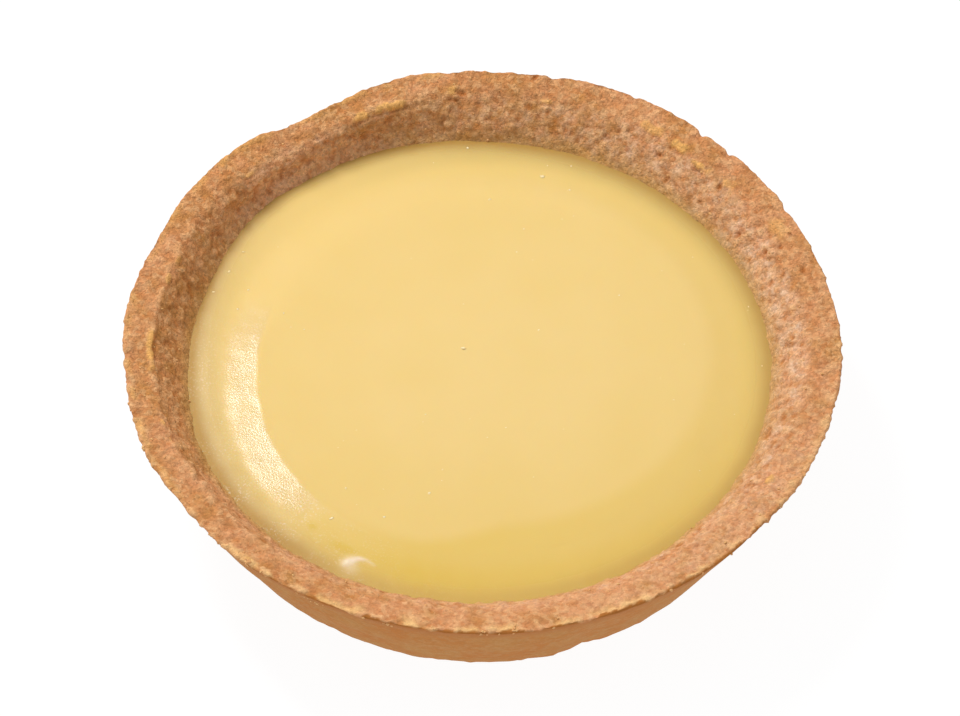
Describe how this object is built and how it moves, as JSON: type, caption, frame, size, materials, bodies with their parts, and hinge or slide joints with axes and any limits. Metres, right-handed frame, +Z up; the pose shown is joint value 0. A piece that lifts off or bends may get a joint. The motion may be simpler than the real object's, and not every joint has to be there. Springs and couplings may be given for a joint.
{
  "type": "egg tart",
  "caption": "Round open tart: a sloping shortcrust pastry shell with a level rim, filled with smooth set egg custard.",
  "frame": {"origin": "centre of the flat underside, on the surface that the tart stands on", "axes": "+Z up through the middle of the tart; +Y towards the back; +X to the right of someone who looks along +Y"},
  "size_m": [0.0799, 0.08, 0.0165],
  "materials": {
    "baked_pastry": "dry, rough, fine-grained golden-brown baked shortcrust, smoother where the tin moulded it",
    "egg_custard": "smooth pale yellow set custard, satin with a soft moist sheen, slightly translucent"
  },
  "bodies": {
    "root": {"crust": "baked_pastry", "custard": "egg_custard"}
  },
  "joints": []
}
